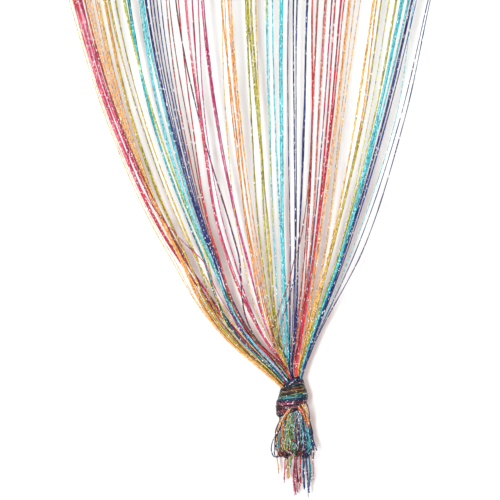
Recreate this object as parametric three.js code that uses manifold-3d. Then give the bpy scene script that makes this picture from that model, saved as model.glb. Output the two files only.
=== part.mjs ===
// A striped string curtain, tied up in a knot. A flat woven heading carries glittering strings in
// stripes of one colour each. They hang in a fan, are drawn together above a wound knot, come out
// under it as a folded bundle, and end in loose ends of uneven length.
import * as THREE from "three";
import { mergeVertices } from "three/addons/utils/BufferGeometryUtils.js";
import Module from "manifold-3d";

const wasm = await Module();
wasm.setup();

// Driving dimensions, in millimetres. +X is to the right, +Y goes to the back, +Z is up, and the
// origin is the middle of the heading's top edge.
const PIECE_GAP = 0.3;
const HEADING = { width: 900, height: 40, thickness: 3, edgeRound: 1 };
const SPINE = { height: 7, thickness: 4 };
const TOOTH = { fill: 0.4, widest: 20, narrowest: 4, thickness: 3, throatThickness: 12 };
const THROAT = { x: 71, top: -1476, topWidth: 34, topDepth: 15, width: 37, depth: 23 };
const KNOT = { x: 71, top: -1501, height: 68, wraps: 4, topTilt: 0.4, tilt: 0.2, wrapDepth: 3.2 };
const FOLD = { x: 74, height: 69.7, neckWidth: 52, neckDepth: 28, width: 74, depth: 40,
  footShare: 0.6, lobes: 9, lobeDepth: 0.06 };
const ENDS = { spineHeight: 6, tipShare: 0.35, spread: 0.45 };

// The levels at which the stripes' places are given: the upper part, where they hang nearly straight,
// three levels in the fan, the level where the fan closes, and the throat over the knot.
const LEVELS = { upper: -400, high: -858, middle: -1071, low: -1283, gather: -1445, throat: -1492 };
const UPPER_SHARE = 0.3;

// The stripes from left to right, with the place of each one's middle at the heading and at the
// levels of the fan, and how far it hangs to the front (minus) or the back (plus) there.
const STRIPES = [
  { colour: "red", start: -403, high: -294, middle: -229, low: -134, gather: -27, depth: 1 },
  { colour: "orange", start: -316, high: -260, middle: -207, low: -120, gather: -15, depth: 4 },
  { colour: "olive", start: -252, high: -224, middle: -170, low: -91, gather: -5, depth: 6 },
  { colour: "turquoise", start: -199, high: -194, middle: -152, low: -78, gather: 4, depth: 5 },
  { colour: "navy", start: -143, high: -166, middle: -128, low: -66, gather: 12, depth: 2 },
  { colour: "red", start: -101, high: -124, middle: -94, low: -47, gather: 23, depth: -3 },
  { colour: "magenta", start: -64, high: -86, middle: -64, low: -20, gather: 37, depth: -6 },
  { colour: "orange", start: -22, high: -41, middle: -24, low: 5, gather: 44, depth: -5 },
  { colour: "olive", start: 28, high: 1, middle: 13, low: 29, gather: 52, depth: 0 },
  { colour: "turquoise", start: 81, high: 46, middle: 47, low: 53, gather: 61, depth: 5 },
  { colour: "navy", start: 132, high: 86, middle: 82, low: 78, gather: 71, depth: 6 },
  { colour: "red", start: 184, high: 121, middle: 112, low: 98, gather: 79, depth: 3 },
  { colour: "magenta", start: 235, high: 154, middle: 136, low: 110, gather: 84, depth: -1 },
  { colour: "orange", start: 278, high: 177, middle: 151, low: 121, gather: 90, depth: -3 },
  { colour: "gold", start: 314, high: 215, middle: 186, low: 138, gather: 94, depth: -6 },
  { colour: "olive", start: 344, high: 243, middle: 204, low: 151, gather: 98, depth: -5 },
  { colour: "turquoise", start: 377, high: 263, middle: 216, low: 158, gather: 101, depth: -4 },
  { colour: "navy", start: 419, high: 279, middle: 230, low: 166, gather: 104, depth: -3 },
  { colour: "navy", start: 441, high: 305, middle: 256, low: 187, gather: 109, depth: 1 },
];
const MIDDLE_STRIPE = (STRIPES.length - 1) / 2;
const THROAT_PITCH = 1.9;
const STRIPE_STEPS = 24;

// The loose ends from left to right: place of the tip, length below the fold, width and depth.
const LOOSE_ENDS = [
  { x: 48, length: 24, width: 7, depth: 2 },
  { x: 58, length: 42, width: 6, depth: -3 },
  { x: 65, length: 34, width: 7, depth: 4 },
  { x: 76, length: 62, width: 9, depth: -2 },
  { x: 86, length: 50, width: 6, depth: 3 },
  { x: 92, length: 57, width: 6, depth: -3 },
  { x: 100, length: 68, width: 5, depth: 2 },
  { x: 107, length: 36, width: 5, depth: -1 },
];

const lerp = THREE.MathUtils.lerp;
const clamp = THREE.MathUtils.clamp;
const smooth = THREE.MathUtils.smoothstep;

// Turns a geometry into one closed solid with shared corners.
function solidFrom(geometry) {
  const bare = geometry.clone();
  bare.deleteAttribute("normal");
  bare.deleteAttribute("uv");
  const merged = mergeVertices(bare, 1e-3);
  const vertProperties = merged.getAttribute("position").array;
  const triVerts = new Uint32Array(merged.index.array);
  return new wasm.Manifold(new wasm.Mesh({ numProp: 3, vertProperties, triVerts }));
}

// Joins several geometries into the geometry of one body.
function joined(geometries) {
  const [first, ...rest] = geometries.map(solidFrom);
  const whole = rest.reduce((sum, solid) => sum.add(solid), first);
  const mesh = whole.getMesh();
  const geometry = new THREE.BufferGeometry();
  geometry.setAttribute("position", new THREE.BufferAttribute(mesh.vertProperties, 3));
  geometry.setIndex(new THREE.BufferAttribute(mesh.triVerts, 1));
  geometry.computeVertexNormals();
  return geometry;
}

// Moves every corner of a geometry to the place that a function gives for it.
function bent(geometry, place) {
  const position = geometry.getAttribute("position");
  const corner = new THREE.Vector3();
  for (let i = 0; i < position.count; i += 1) {
    corner.fromBufferAttribute(position, i);
    const moved = place(corner);
    position.setXYZ(i, moved.x, moved.y, moved.z);
  }
  geometry.computeVertexNormals();
  return geometry;
}

function piece(name, geometry, colour, roughness, metalness) {
  const material = new THREE.MeshStandardMaterial({ color: colour, roughness, metalness });
  const mesh = new THREE.Mesh(geometry, material);
  mesh.name = name;
  return mesh;
}

// The heading, a flat band with its long edges slightly rounded.
function headingGeometry() {
  const half = HEADING.thickness / 2;
  const round = HEADING.edgeRound;
  const section = new THREE.Shape();
  section.moveTo(-half, -HEADING.height + round);
  section.lineTo(-half + round, -HEADING.height);
  section.lineTo(half - round, -HEADING.height);
  section.lineTo(half, -HEADING.height + round);
  section.lineTo(half, 0);
  section.lineTo(-half, 0);
  section.closePath();
  const band = new THREE.ExtrudeGeometry(section, { depth: HEADING.width, bevelEnabled: false });
  band.translate(0, 0, -HEADING.width / 2);
  const along = new THREE.Vector3(1, 0, 0);
  const back = new THREE.Vector3(0, 1, 0);
  const up = new THREE.Vector3(0, 0, 1);
  return band.applyMatrix4(new THREE.Matrix4().makeBasis(back, up, along));
}

// How much higher or lower a place near the knot's top lies than its middle, because the top slants.
function slant(x) {
  return KNOT.topTilt * (x - KNOT.x);
}

// The line that a stripe's middle follows, from inside the spine down to the throat.
function stripeLine(index) {
  const stripe = STRIPES[index];
  const top = -HEADING.height - PIECE_GAP - SPINE.height / 2;
  const throatDepth = ((index % 3) - 1) * 3;
  const throatX = THROAT.x + (index - MIDDLE_STRIPE) * THROAT_PITCH;
  return new THREE.CatmullRomCurve3([
    new THREE.Vector3(stripe.start, 0, top),
    new THREE.Vector3(lerp(stripe.start, stripe.high, UPPER_SHARE), stripe.depth / 2, LEVELS.upper),
    new THREE.Vector3(stripe.high, stripe.depth, LEVELS.high),
    new THREE.Vector3(stripe.middle, stripe.depth, LEVELS.middle),
    new THREE.Vector3(stripe.low, stripe.depth, LEVELS.low),
    new THREE.Vector3(stripe.gather, throatDepth, LEVELS.gather),
    new THREE.Vector3(throatX, throatDepth, LEVELS.throat + slant(throatX)),
  ], false, "centripetal");
}

// Points on a stripe's line, from the throat up to the heading.
function stripePoints(index, count) {
  return stripeLine(index).getPoints(count).reverse();
}

// One tooth of the comb: as wide as a share of the room between its neighbours, and thicker where
// the fan closes.
function toothGeometry(lines, index) {
  const line = lines[index];
  const left = lines[Math.max(index - 1, 0)];
  const right = lines[Math.min(index + 1, lines.length - 1)];
  const spans = Math.min(index, 1) + Math.min(lines.length - 1 - index, 1);
  const aside = (index - MIDDLE_STRIPE) / (MIDDLE_STRIPE + 1);
  const throatThickness = TOOTH.throatThickness * Math.sqrt(1 - aside ** 2);
  const steps = line.length - 1;
  const box = new THREE.BoxGeometry(1, 1, 1, 1, 1, steps);
  return bent(box, (corner) => {
    const at = Math.round((corner.z + 0.5) * steps);
    const middle = line[at];
    const room = (right[at].x - left[at].x) / spans;
    const width = clamp(TOOTH.fill * room, TOOTH.narrowest, TOOTH.widest);
    const closing = smooth(-middle.z, -LEVELS.low, -LEVELS.throat);
    const thickness = lerp(TOOTH.thickness, throatThickness, closing ** 3);
    return new THREE.Vector3(
      middle.x + corner.x * width,
      middle.y + corner.y * thickness,
      middle.z,
    );
  });
}

// The round bundle on the knot's slanted top, in which all the teeth end.
function throatGeometry() {
  const bottom = KNOT.top + PIECE_GAP * Math.hypot(1, KNOT.topTilt);
  const barrel = new THREE.CylinderGeometry(1, 1, 1, 24, 3);
  barrel.rotateX(Math.PI / 2);
  return bent(barrel, (corner) => {
    const down = 0.5 - corner.z;
    const width = lerp(THROAT.topWidth, THROAT.width, down);
    const depth = lerp(THROAT.topDepth, THROAT.depth, down);
    const x = THROAT.x + (corner.x * width) / 2;
    return new THREE.Vector3(x, (corner.y * depth) / 2, lerp(THROAT.top, bottom, down) + slant(x));
  });
}

// All the strings above the knot, as one comb along the heading's lower edge.
function stringsGeometry() {
  const top = -HEADING.height - PIECE_GAP;
  const spine = new THREE.BoxGeometry(HEADING.width, SPINE.thickness, SPINE.height);
  spine.translate(0, 0, top - SPINE.height / 2);
  const lines = STRIPES.map((stripe, index) => stripePoints(index, STRIPE_STEPS));
  const teeth = STRIPES.map((stripe, index) => toothGeometry(lines, index));
  return joined([spine, ...teeth, throatGeometry()]);
}

// The knot: turns of the bundle wound on top of each other, lower on the left, wider downwards.
function knotGeometry() {
  const barrel = new THREE.CylinderGeometry(1, 1, 1, 40, 28);
  barrel.rotateX(Math.PI / 2);
  return bent(barrel, (corner) => {
    const down = 0.5 - corner.z;
    const girth = Math.sin(Math.PI * clamp(lerp(0.12, 0.9, down), 0, 1));
    const turn = Math.abs(Math.sin(Math.PI * KNOT.wraps * down));
    const flat = Math.min(1, 6 * Math.min(down, 1 - down));
    const tilt = lerp(KNOT.topTilt, KNOT.tilt, Math.min(1, 3 * down)) * Math.min(1, 6 * (1 - down));
    const halfWidth = lerp(17.5, 27, Math.min(1, 1.5 * down)) + KNOT.wrapDepth * (turn - 0.6) * flat;
    const halfDepth = lerp(11, 20, girth) + KNOT.wrapDepth * (turn - 0.6) * flat;
    const x = corner.x * halfWidth;
    return new THREE.Vector3(
      KNOT.x + x,
      corner.y * halfDepth,
      KNOT.top - down * KNOT.height + tilt * x,
    );
  });
}

// The folded bundle below the knot: it flares, has soft lobes, and draws in round at the bottom.
function foldGeometry() {
  const top = KNOT.top - KNOT.height - PIECE_GAP;
  const barrel = new THREE.CylinderGeometry(1, 1, 1, 54, 12);
  barrel.rotateX(Math.PI / 2);
  return bent(barrel, (corner) => {
    const down = 0.5 - corner.z;
    const flare = smooth(down, 0, 0.8);
    const drawnIn = clamp((down - 0.75) / 0.25, 0, 1) ** 2;
    const around = Math.atan2(corner.y, corner.x);
    const lobe = 1 + FOLD.lobeDepth * flare * Math.cos(FOLD.lobes * around);
    const size = lerp(1, FOLD.footShare, drawnIn) * lobe;
    return new THREE.Vector3(
      FOLD.x + (corner.x * size * lerp(FOLD.neckWidth, FOLD.width, flare)) / 2,
      (corner.y * size * lerp(FOLD.neckDepth, FOLD.depth, flare)) / 2,
      top - down * FOLD.height,
    );
  });
}

// The loose ends, a small comb that hangs out of the folded bundle's foot.
function endsGeometry() {
  const top = KNOT.top - KNOT.height - FOLD.height - 2 * PIECE_GAP;
  const spine = new THREE.CylinderGeometry(1, 0.92, ENDS.spineHeight, 28, 1);
  spine.rotateX(Math.PI / 2);
  spine.scale((FOLD.footShare * FOLD.width) / 2, (FOLD.footShare * FOLD.depth) / 2, 1);
  spine.translate(FOLD.x, 0, top - ENDS.spineHeight / 2);
  const teeth = LOOSE_ENDS.map((end) => {
    const tooth = new THREE.BoxGeometry(1, 1, 1, 1, 1, 4);
    const start = lerp(end.x, FOLD.x, ENDS.spread);
    return bent(tooth, (corner) => {
      const down = 0.5 - corner.z;
      const width = end.width * lerp(1, ENDS.tipShare, down);
      return new THREE.Vector3(
        lerp(start, end.x, Math.sqrt(down)) + corner.x * width,
        end.depth + corner.y * width,
        top - lerp(ENDS.spineHeight / 2, end.length, down),
      );
    });
  });
  return joined([spine, ...teeth]);
}

const curtain = new THREE.Group();
curtain.add(
  piece("heading", headingGeometry(), 0xd9cdb4, 0.85, 0),
  piece("strings", stringsGeometry(), 0xb8434f, 0.45, 0.3),
  piece("knot", knotGeometry(), 0x3b3c74, 0.5, 0.3),
  piece("tassel_fold", foldGeometry(), 0xc08a4a, 0.5, 0.3),
  piece("tassel_ends", endsGeometry(), 0xb03a5c, 0.5, 0.3),
);

export default curtain;
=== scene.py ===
"""The looks of a striped string curtain that is tied in a knot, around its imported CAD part.

A woven heading carries glittering strings in stripes of colour. They fan down, close above a wound
knot, come out under it as a folded bundle, and end in loose ends. Everything is in metres, with +X
to the right, +Y to the back and +Z up, and the origin in the middle of the heading's top edge.
"""
import math
import random
from collections import namedtuple

import bpy
import numpy as np
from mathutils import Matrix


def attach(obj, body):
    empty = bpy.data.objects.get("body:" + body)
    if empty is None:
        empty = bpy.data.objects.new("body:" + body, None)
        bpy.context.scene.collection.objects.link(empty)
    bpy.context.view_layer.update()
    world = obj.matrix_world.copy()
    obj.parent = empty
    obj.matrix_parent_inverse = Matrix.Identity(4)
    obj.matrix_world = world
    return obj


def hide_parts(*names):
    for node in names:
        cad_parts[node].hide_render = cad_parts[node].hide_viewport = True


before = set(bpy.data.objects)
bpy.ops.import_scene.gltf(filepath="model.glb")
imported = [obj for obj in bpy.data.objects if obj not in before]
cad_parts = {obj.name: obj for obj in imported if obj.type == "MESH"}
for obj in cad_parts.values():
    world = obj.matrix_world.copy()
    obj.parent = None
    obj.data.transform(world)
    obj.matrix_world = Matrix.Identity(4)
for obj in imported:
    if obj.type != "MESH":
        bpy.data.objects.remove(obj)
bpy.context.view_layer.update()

MM = 0.001
TAU = 2 * math.pi

# The yarn: a flat tinsel string that turns about its own length and is a little fuller in the fan.
# The knot and the fold each have a core, which is one thick dark tube: painted shade where their strings
# part.
STRING_WIDTH = 1.8 * MM
STRING_THICKNESS = 1.25 * MM
STRING_SIDES = 6
TURN_LENGTH = (0.11, 0.26)
FAN_SWELL = 1.22
CORE_SIDES = 28

# The dyes of the yarn, as screen colours of 0 to 255.
DYES = {
    "red": (216, 62, 88),
    "scarlet": (220, 62, 44),
    "rose": (228, 132, 156),
    "maroon": (112, 24, 42),
    "brown": (172, 70, 58),
    "salmon": (230, 138, 120),
    "crimson": (214, 30, 72),
    "magenta": (206, 30, 108),
    "mauve": (216, 92, 152),
    "orange": (244, 168, 80),
    "apricot": (250, 202, 138),
    "gold": (236, 198, 94),
    "olive": (186, 176, 48),
    "lime": (216, 216, 116),
    "green": (116, 184, 116),
    "teal": (20, 96, 104),
    "turquoise": (56, 204, 214),
    "aqua": (136, 224, 232),
    "blue": (40, 96, 176),
    "navy": (32, 52, 128),
    "purple": (96, 64, 130),
    "ink": (20, 20, 62),
    "silver": (190, 194, 200),
}

# Which dyes go into which piece of the curtain.
FAMILIES = {
    "red": ("red", "scarlet", "rose", "maroon", "brown", "salmon"),
    "magenta": ("magenta", "crimson", "mauve"),
    "orange": ("orange", "apricot"),
    "gold": ("gold",),
    "olive": ("olive", "lime", "green"),
    "turquoise": ("turquoise", "aqua", "teal"),
    "navy": ("navy", "purple", "blue"),
}

# The strings hang in bunches, from left to right. Each has the dyes that its strings take in turn,
# how many strings it has, its place across the curtain at five levels from the fan to the knot, how
# far its strings spread, how wide they are beside the usual, and how far forward they lie near the
# knot. All lengths are in millimetres.
Bunch = namedtuple("Bunch", "dyes count high middle low gather neck spread width front",
                   defaults=(2.6, 1.0, 0.0))
THIN = 0.8
BUNCHES = [Bunch(*row) for row in [
    ("gold", 1, -308, -241, -143, -32, 17, 1, 0.85),
    ("apricot", 1, -302, -238, -139, -31, 18, 1, THIN),
    ("red red rose", 10, -297, -232, -131, -6, 34, 9, 1, -4),
    ("magenta rose magenta", 6, -288.6, -224.6, -121.4, -3, 36, 7.6, 0.9, -4),
    ("brown orange brown", 4, -282, -220, -118, -16, 28, 4, 1, 3),
    ("apricot", 3, -277, -218, -127, -29, 20, 4, 0.7, 5),
    ("apricot", 4, -271, -215, -126, -27, 22, 6, 0.7, 5),
    ("orange apricot gold", 3, -263, -211, -124, -26, 23, 4, 0.75, 6),
    ("orange gold orange", 5, -259, -207, -123, -24, 25, 3, 1, 7),
    ("gold olive orange", 8, -247, -198, -114, -21, 27, 6.4, 0.95, 5),
    ("olive gold olive", 3, -240, -184, -99, 1, 41, 2.4, 0.9, 2),
    ("olive gold", 3, -230, -177, -96, -17, 31, 2.4, 0.85, 3),
    ("lime olive", 3, -215, -159, -79, -14, 32, 3, 1, 3),
    ("green", 3, -213, -158, -77, 18, 56, 3, 1, 1),
    ("turquoise turquoise teal", 7, -207, -164, -85, -8, 38, 5.5, 1, 2),
    ("aqua", 5, -187, -149, -75, 9, 48, 7, 0.75, 3),
    ("aqua turquoise", 5, -183, -139, -72, 9, 48, 4.6, 0.8, 6),
    ("navy", 5, -178, -134, -69, 3, 42, 3.6, 1.05, 4),
    ("navy", 2, -170, -131, -67, 5, 43, 1.6, 0.9, 3),
    ("navy", 2, -164, -128, -66, 6, 44, 1.6, 0.9, 3),
    ("navy", 2, -159, -123, -64, 14, 50, 1.6, 0.9, 2),
    ("navy purple", 2, -152, -119, -62, 16, 52, 1.6, 0.9, 2),
    ("brown", 1, -142, -114, -60, 13, 56, 1, 1.15),
    ("brown", 1, -137, -105, -58, 15, 58, 1, 1.15),
    ("red scarlet", 2, -122, -97, -58, 16, 60, 1.8, 1.2, 2),
    ("navy maroon", 2, -126, -84, -22, 19, 61, 1.6, 1.2),
    ("rose salmon red rose", 4, -110, -83, -44, 31, 60, 4.6, 1.05),
    ("magenta", 2, -98, -80, -41, 34, 62, 1.6),
    ("mauve magenta", 2, -88, -75, -32, 32, 62, 1.2, 0.9),
    ("mauve magenta mauve", 6, -81, -55, -9, 41, 63, 6, 0.95),
    ("orange", 4, -49, -25, 1, 41, 63, 2.6),
    ("gold", 1, -47, -40, -15, 37, 62, 1, 0.9),
    ("orange apricot", 2, -42, -29, 4, 44, 64, 1.8, 0.9),
    ("orange apricot orange", 4, -36, -20, 9, 45, 64, 3.4),
    ("orange gold", 2, -32, -15, 14, 46, 64, 1.8, 0.9),
    ("lime olive", 4, -7, 3, 19, 49, 64, 3.2, 0.9),
    ("olive", 4, -3.5, 14, 35, 52, 65, 2.6),
    ("lime olive", 4, 2, 16, 28, 51, 65, 3.4, 0.9),
    ("lime gold", 2, 10, 18, 33, 54, 65, 1.8, 0.85),
    ("aqua lime aqua", 4, 29, 33, 42, 57, 66, 5, 0.85),
    ("aqua", 3, 38, 43, 54, 60, 66, 2.5, 0.9),
    ("turquoise aqua", 8, 54, 54, 57, 65, 66, 7.5),
    ("navy", 2, 65.5, 65, 68, 68, 67, 1.2, 0.9),
    ("navy", 2, 74.5, 75, 77, 71, 68, 1.4, 0.9),
    ("navy", 2, 80.5, 79, 78, 73, 70, 1.4, 0.9),
    ("navy", 6, 98, 92, 83, 75, 71, 3.6),
    ("scarlet red scarlet", 4, 107, 106, 97, 85, 78, 2.6),
    ("salmon brown rose", 3, 115.5, 107, 93, 77, 73, 3.4, 0.9),
    ("salmon brown salmon rose", 5, 129, 116, 103, 79, 74, 4.2, 0.95, 1),
    ("magenta purple", 2, 139, 124.5, 105, 81, 75, 1.6, 0.9, -2),
    ("crimson brown", 3, 145, 130.5, 109, 82, 76, 2, 1, 2),
    ("crimson magenta crimson maroon crimson red crimson", 7, 155, 136, 110, 84, 77.5, 4, 1, 2),
    ("scarlet", 4, 161, 138.5, 111, 86, 79, 2.6, 1, 4),
    ("apricot orange apricot", 6, 169, 145, 115, 90, 82, 7, 0.9, 4),
    ("apricot", 2, 178, 153, 127, 92, 83, 2, THIN),
    ("apricot gold", 2, 188, 156, 129, 93, 83.5, 2, THIN),
    ("gold apricot gold", 4, 211, 178, 136, 94, 84, 4, 0.95),
    ("gold olive gold orange", 4, 215.5, 188, 139, 96, 85, 4, 0.95),
    ("olive", 2, 223, 191, 140, 97, 86, 1.6),
    ("lime", 2, 236, 200, 152, 98, 87, 1.6, THIN),
    ("olive lime", 4, 248, 208, 153, 99, 87, 4.4, 0.95),
    ("aqua turquoise aqua", 8, 258, 213, 157, 101, 88, 7, 1, 3),
    ("aqua turquoise", 4, 269, 219, 159, 102, 88.5, 3.4, 0.9, 2),
    ("navy", 8, 276, 225, 162, 104, 90, 5.2, 1, 4),
    ("navy blue", 2, 283, 230.5, 166, 105, 91, 1.6, 0.9, 3),
    ("aqua", 1, 279, 245, 175, 107, 92, 1, THIN),
    ("navy", 1, 303, 252, 181, 108, 93, 1),
    ("navy", 1, 307, 260, 193, 110, 94, 1),
]]

# A few strings leave their stripe and cross the others on the way to the knot. Each has the places
# that it passes, as millimetres across and below the heading's top edge.
Stray = namedtuple("Stray", "dye places")
STRAYS = [
    Stray("brown", [(107, 858), (106, 1062), (98, 1183), (91, 1236), (82, 1280), (76, 1297),
                    (65, 1340), (54, 1370), (45, 1397), (37, 1419), (38, 1432), (47, 1465),
                    (67, 1491), (72, 1507)]),
    Stray("navy", [(75, 858), (75, 1071), (77, 1280), (75, 1329), (68, 1358), (62, 1379),
                   (54, 1402), (50, 1419), (48, 1436), (61, 1467), (67, 1487), (70, 1507)]),
    Stray("magenta", [(-290, 858), (-220, 1071), (-184, 1180), (-149, 1230), (-107, 1276),
                      (-79, 1303), (-63, 1340), (-44, 1375), (-14, 1415), (24, 1455), (52, 1490),
                      (60, 1512)]),
]

# Levels below the heading's top edge at which the strings' places are known, and how much of the way
# inwards a string has gone at the first.
HEADING_HEIGHT = 40 * MM
STRING_TOP = HEADING_HEIGHT - 2 * MM
UPPER = 0.40
HIGH = 0.858
MIDDLE = 1.071
LOW = 1.283
GATHER = 1.445
NECK = 1.486
UPPER_SHARE = 0.3
FIRST_STRING = -445 * MM
FAN_POINTS = 92
CLOSING_POINTS = 38

# Where a string at a given place of the neck ends inside the knot: across, and below the heading's
# top edge, in millimetres.
AT_NECK = [17, 31, 48, 60, 66, 75, 81, 94]
END_ACROSS = [54, 62, 70, 73, 73.5, 77, 81, 87]
END_DOWN = [1518, 1517, 1514, 1512, 1510, 1508, 1506, 1506]

# The waves in which the stripes hang to the front and the back.
DEPTH_WAVE = 6 * MM
DEPTH_WAVE_LENGTH = 300 * MM

# A string's sway: the sum of a few waves, none at the heading and little at the knot.
SWAY_ACROSS = 0.45 * MM
SWAY_BACK = 1.0 * MM
SWAY_WAVES = 3
SWAY_LENGTHS = (0.15, 0.8)
SWAY_START = 0.15
SWAY_END = NECK + 0.01
SWAY_STOP = 0.2
SWAY_LEAST = 0.15

# How irregular a bunch is: how far a string may leave its turn in the row, in millimetres how far it
# may stray to the side near the knot, and its width.
ROW_SCATTER = 0.35
SIDE_SCATTER = 0.8
WIDTH_SCATTER = (0.9, 1.1)

# How much of its place in the row a string keeps lower down, how many millimetres deep the strings
# pile up there, and how much of its bunch's way forward it goes in the fan and at its end.
MIDDLE_ROW = 0.8
LOW_ROW = 0.6
GATHER_ROW = 0.5
NECK_ROW = 0.4
PILES = (2, 4, 5, 7)
LOW_FRONT = 0.4
END_FRONT = 0.5


def linear(name):
    """Gives a dye as the linear values that Blender's nodes take, by the sRGB curve."""
    scaled = [value / 255 for value in DYES[name]]
    return np.array([s / 12.92 if s <= 0.04045 else ((s + 0.055) / 1.055) ** 2.4 for s in scaled])


def mix(a, b, share):
    return a + (b - a) * share


def smooth_line(keys, values, at):
    """Values on a smooth curve through the given values at the given keys."""
    keys = np.asarray(keys, float)
    values = np.asarray(values, float)
    gaps = np.diff(keys)[:, None]
    slopes = np.diff(values, axis=0) / gaps
    inner = (gaps[1:] * slopes[:-1] + gaps[:-1] * slopes[1:]) / (gaps[1:] + gaps[:-1])
    tangents = np.vstack([slopes[:1], inner, slopes[-1:]])
    left = np.clip(np.searchsorted(keys, at, side="right") - 1, 0, len(keys) - 2)
    span = gaps[left]
    t = (np.asarray(at) - keys[left])[:, None] / span
    start = (1 + 2 * t) * (1 - t) ** 2 * values[left]
    leave = t * (1 - t) ** 2 * span * tangents[left]
    end = t * t * (3 - 2 * t) * values[left + 1]
    arrive = t * t * (t - 1) * span * tangents[left + 1]
    return start + leave + end + arrive


def flowing(points, count):
    """A line of the given number of points, evenly spaced on a smooth curve through a few."""
    points = np.asarray(points, float)
    steps = np.linalg.norm(np.diff(points, axis=0), axis=1)
    keys = np.concatenate([[0], np.cumsum(steps)])
    return smooth_line(keys, points, np.linspace(0, keys[-1], count))


class Strand:
    """One string: the line it follows, its half sizes, and how it turns about that line.

    Its painted shading is how bright its dye is along it: painted shade.
    """

    def __init__(self, path, dye, rng, width=STRING_WIDTH, thickness=STRING_THICKNESS, side=(1, 0, 0),
                 turns=0.0, phase=0.0, shade=(0.7, 0.92), fade=1.0):
        self.path = path
        self.dye = np.clip(linear(dye) * rng.uniform(*shade), 0, 1)
        self.seed = rng.random()
        self.half_width = np.broadcast_to(np.asarray(width) / 2, len(path))
        self.half_thickness = np.broadcast_to(np.asarray(thickness) / 2, len(path))
        self.side = side
        self.turns = turns
        self.phase = phase
        self.fade = np.broadcast_to(fade, len(path))


def unit(vectors):
    return vectors / np.linalg.norm(vectors, axis=-1, keepdims=True)


def frames(paths, sides):
    """For each point of each line, two directions across it that follow the line without twist."""
    tangents = unit(np.gradient(paths, axis=1))
    across = np.empty_like(paths)
    current = np.array(sides, float)
    for i in range(paths.shape[1]):
        tangent = tangents[:, i]
        current = unit(current - tangent * np.sum(current * tangent, axis=1, keepdims=True))
        across[:, i] = current
    return across, np.cross(tangents, across)


def dress(piece, material, node):
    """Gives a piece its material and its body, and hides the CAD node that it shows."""
    piece.data.materials.append(material)
    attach(piece, "root")
    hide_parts(node)


def linked(name, data):
    """A new object in the scene that shows the given mesh, light or camera."""
    made = bpy.data.objects.new(name, data)
    bpy.context.collection.objects.link(made)
    return made


# How OFBake lays out the strings: each fold of a string lies in a band of its own, a little inside
# the band's edges, and the two end caps are small discs in its margins.
BAKE_LEFT = 0.01
BAKE_LENGTH = 0.97
BAKE_BELOW = 0.06
BAKE_ROUND = 0.88
CAP_MIDDLES = (0.004, 0.991)
CAP_RADIUS = 0.003
CAP_HEIGHT = 0.3


def add_uv(mesh, name, quad_u, cap_u, quad_v, cap_v):
    """Adds a UV map: the corners of all quads first, and then those of the caps."""
    u = np.concatenate([quad_u.reshape(-1), cap_u.reshape(-1)])
    v = np.concatenate([quad_v.reshape(-1), cap_v.reshape(-1)])
    mesh.uv_layers.new(name=name).data.foreach_set("uv", np.stack([u, v], axis=1).reshape(-1))


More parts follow.
